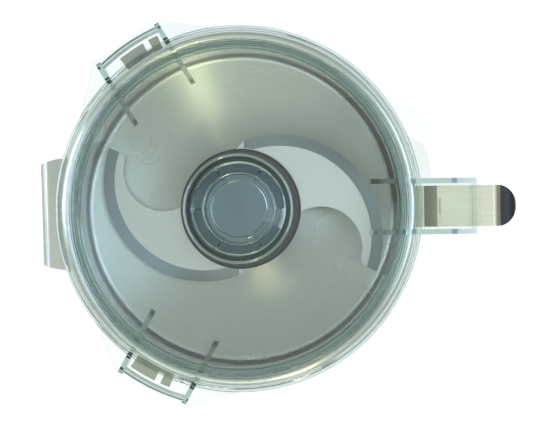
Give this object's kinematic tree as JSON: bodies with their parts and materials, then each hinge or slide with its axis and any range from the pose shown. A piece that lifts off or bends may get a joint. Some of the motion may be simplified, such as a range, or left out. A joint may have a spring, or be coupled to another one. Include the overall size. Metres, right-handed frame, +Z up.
{
  "type": "vertical cutter mixer",
  "caption": "Table-top vertical cutter mixer: square motor base, lift-off steel bowl, two sickle blades and a clear lid with a chimney",
  "frame": {"origin": "on the drive axis, in the plane of the bench under the four feet", "axes": "+Z up along the drive axis, +X towards the bowl's long handle, -Y towards the control panel"},
  "size_m": [0.35, 0.2826, 0.4553],
  "materials": {
    "housing_steel": "satin brushed",
    "plate_steel": "satin",
    "foot_rubber": "matt",
    "screw_steel": "plated",
    "deck_aluminium": "turned satin",
    "stud_steel": "turned",
    "panel_black": "fine grain",
    "switch_plastic": "plain",
    "pot_metal": "plain",
    "gland_plastic": "moulded",
    "vent_steel": "satin",
    "case_paint": "semi-gloss paint",
    "core_steel": "laminated",
    "winding_copper": "enamelled copper",
    "shield_aluminium": "cast",
    "bearing_steel": "ground",
    "seal_black": "matt",
    "can_aluminium": "drawn",
    "clip_plastic": "moulded",
    "board_green": "solder mask",
    "standoff_brass": "turned",
    "reed_plastic": "moulded",
    "shaft_steel": "ground",
    "fan_plastic": "moulded",
    "bowl_steel": "brushed in rings",
    "column_steel": "brushed",
    "foot_aluminium": "turned satin",
    "tab_steel": "pressed sheet",
    "strap_steel": "brushed along",
    "grip_black": "moulded",
    "magnet_black": "sintered",
    "rear_grip_steel": "brushed",
    "core_sleeve_steel": "turned",
    "hub_composite": "satin moulded",
    "blade_steel": "polished with ground bevel",
    "bush_bronze": "turned",
    "lid_clear": "clear moulded polycarbonate",
    "seal_silicone": "translucent silicone",
    "button_green": "moulded",
    "button_red": "moulded",
    "button_grey": "moulded",
    "knob_black": "moulded"
  },
  "bodies": {
    "base": {"base_housing": "housing_steel", "base_plate": "plate_steel", "rubber_feet": "foot_rubber", "foot_screws": "screw_steel", "top_deck": "deck_aluminium", "locating_studs": "stud_steel", "deck_screws": "screw_steel", "control_panel": "panel_black", "panel_screws": "screw_steel", "switch_blocks": "switch_plastic", "speed_pot": "pot_metal", "cable_gland": "gland_plastic", "gland_nut": "gland_plastic", "vent_grille": "vent_steel", "vent_screws": "screw_steel", "motor_case": "case_paint", "stator_core": "core_steel", "stator_windings": "winding_copper", "upper_end_shield": "shield_aluminium", "lower_end_shield": "shield_aluminium", "motor_bolts": "screw_steel", "upper_bearing": "bearing_steel", "lower_bearing": "bearing_steel", "shaft_seal": "seal_black", "run_capacitor": "can_aluminium", "capacitor_clip": "clip_plastic", "control_board": "board_green", "board_standoffs": "standoff_brass", "reed_switch": "reed_plastic"},
    "rotor": {"rotor_core": "core_steel", "drive_shaft": "shaft_steel", "cooling_fan": "fan_plastic"},
    "bowl": {"bowl_shell": "bowl_steel", "bowl_column": "column_steel", "bowl_foot": "foot_aluminium", "lid_tabs": "tab_steel", "tab_pins": "tab_steel", "handle_strap": "strap_steel", "handle_grip": "grip_black", "handle_screws": "screw_steel", "handle_magnet": "magnet_black", "rear_grip": "rear_grip_steel"},
    "cutter": {"hub_core": "core_sleeve_steel", "hub_cap": "hub_composite", "hub_flange": "hub_composite", "blade_upper": "blade_steel", "blade_lower": "blade_steel", "blade_spacer": "hub_composite", "drive_bush": "bush_bronze", "hub_screws": "screw_steel"},
    "lid": {"lid_shell": "lid_clear", "lid_seal": "seal_silicone"},
    "start": {"start_button": "button_green"},
    "stop": {"stop_button": "button_red"},
    "pulse": {"pulse_button": "button_grey"},
    "knob": {"speed_knob": "knob_black"}
  },
  "joints": [
    {"name": "motor_spin", "type": "hinge", "parent": "base", "child": "rotor", "pos_m": [0, 0, 0.1], "axis": [0, 0, 1], "continuous": true},
    {"name": "bowl_lift", "type": "slide", "parent": "base", "child": "bowl", "axis": [0, 0, 1], "range_m": [0, 0.16]},
    {"name": "cutter_spin", "type": "hinge", "parent": "bowl", "child": "cutter", "pos_m": [0, 0, 0.3], "axis": [0, 0, 1], "continuous": true},
    {"name": "lid_lift", "type": "slide", "parent": "bowl", "child": "lid", "axis": [0, 0, 1], "range_m": [0, 0.1]},
    {"name": "start_press", "type": "slide", "parent": "base", "child": "start", "axis": [0, 0.9897, -0.1429], "range_m": [0, 0.003], "stiffness_N_per_m": 900},
    {"name": "stop_press", "type": "slide", "parent": "base", "child": "stop", "axis": [0, 0.9897, -0.1429], "range_m": [0, 0.003], "stiffness_N_per_m": 900},
    {"name": "pulse_press", "type": "slide", "parent": "base", "child": "pulse", "axis": [0, 0.9897, -0.1429], "range_m": [0, 0.003], "stiffness_N_per_m": 900},
    {"name": "speed_turn", "type": "hinge", "parent": "base", "child": "knob", "pos_m": [-0.042, -0.127, 0.1015], "axis": [0, -0.9897, 0.1429], "range_deg": [-270, 0]}
  ],
  "couplings": [
    {"joint": "cutter_spin", "follows": "motor_spin", "ratio": 1}
  ]
}
